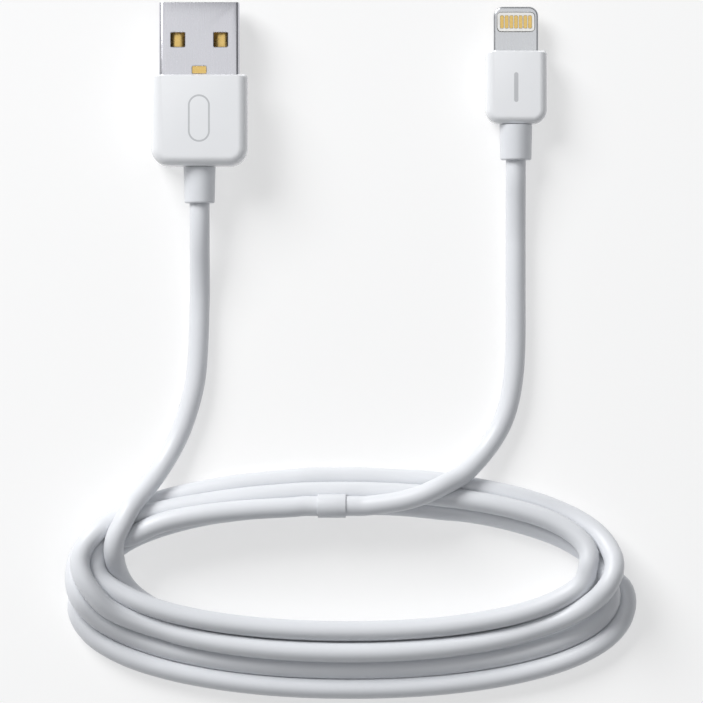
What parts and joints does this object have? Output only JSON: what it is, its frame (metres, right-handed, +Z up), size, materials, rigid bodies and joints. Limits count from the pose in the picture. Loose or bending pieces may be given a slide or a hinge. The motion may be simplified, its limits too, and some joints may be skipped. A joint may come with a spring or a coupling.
{
  "type": "charging cable",
  "caption": "Coiled white charging cable with a flat rectangular host plug and a small reversible tab plug, each with a moulded grip and strain relief.",
  "frame": {"origin": "the middle of the two plugs' box, on the surface the cable lies on", "axes": "+Z up from the surface, +Y the way both plugs point, +X from the large plug towards the small one"},
  "size_m": [0.0856, 0.1048, 0.008],
  "materials": {
    "white_plastic": "glossy moulded white",
    "white_cord": "satin white thermoplastic jacket",
    "shell_steel": "fine satin plated steel",
    "tab_steel": "satin plated steel",
    "can_steel": "plain stamped steel",
    "contact_gold": "gold plated",
    "insulator": "moulded off-white",
    "inner_mould": "moulded, unseen",
    "board_green": "solder mask",
    "chip_black": "matte",
    "ceramic": "fired ceramic",
    "wire_red": "satin",
    "wire_white": "satin",
    "wire_green": "satin",
    "wire_black": "satin"
  },
  "bodies": {
    "cord": {"cord_coil": "white_cord", "tab_lead": "white_cord", "usb_lead": "white_cord"},
    "usb_plug": {"usb_collar": "white_plastic", "usb_contact_data_minus": "contact_gold", "usb_contact_data_plus": "contact_gold", "usb_contact_ground": "contact_gold", "usb_contact_holder": "insulator", "usb_contact_power": "contact_gold", "usb_crimp_ring": "can_steel", "usb_inner_mould": "inner_mould", "usb_overmould": "white_plastic", "usb_shell": "shell_steel", "usb_tongue": "insulator", "usb_wire_data_minus": "wire_white", "usb_wire_data_plus": "wire_green", "usb_wire_ground": "wire_black", "usb_wire_power": "wire_red"},
    "tab_plug": {"tab_board": "board_green", "tab_capacitor": "ceramic", "tab_collar": "white_plastic", "tab_contact_lower_1": "contact_gold", "tab_contact_lower_2": "contact_gold", "tab_contact_lower_3": "contact_gold", "tab_contact_lower_4": "contact_gold", "tab_contact_lower_5": "contact_gold", "tab_contact_lower_6": "contact_gold", "tab_contact_lower_7": "contact_gold", "tab_contact_upper_1": "contact_gold", "tab_contact_upper_2": "contact_gold", "tab_contact_upper_3": "contact_gold", "tab_contact_upper_4": "contact_gold", "tab_contact_upper_5": "contact_gold", "tab_contact_upper_6": "contact_gold", "tab_contact_upper_7": "contact_gold", "tab_control_chip": "chip_black", "tab_crimp_ring": "can_steel", "tab_frame": "tab_steel", "tab_insert": "insulator", "tab_overmould": "white_plastic", "tab_screening_can": "can_steel", "tab_wire_data_minus": "wire_white", "tab_wire_data_plus": "wire_green", "tab_wire_ground": "wire_black", "tab_wire_power": "wire_red"},
    "keeper": {"keeper_sleeve": "white_plastic"}
  },
  "joints": [
    {"name": "usb_plug_swing", "type": "hinge", "parent": "cord", "child": "usb_plug", "pos_m": [-0.0224, -0.015, 0.004], "axis": [0, 0, 1], "range_deg": [-25, 25], "deforming": ["usb_lead"]},
    {"name": "tab_plug_swing", "type": "hinge", "parent": "cord", "child": "tab_plug", "pos_m": [0.025, -0.0085, 0.0026], "axis": [0, 0, 1], "range_deg": [-25, 25], "deforming": ["tab_lead"]},
    {"name": "keeper_slide", "type": "slide", "parent": "cord", "child": "keeper", "axis": [1, 0, 0], "range_m": [-0.003, 0.003]}
  ]
}
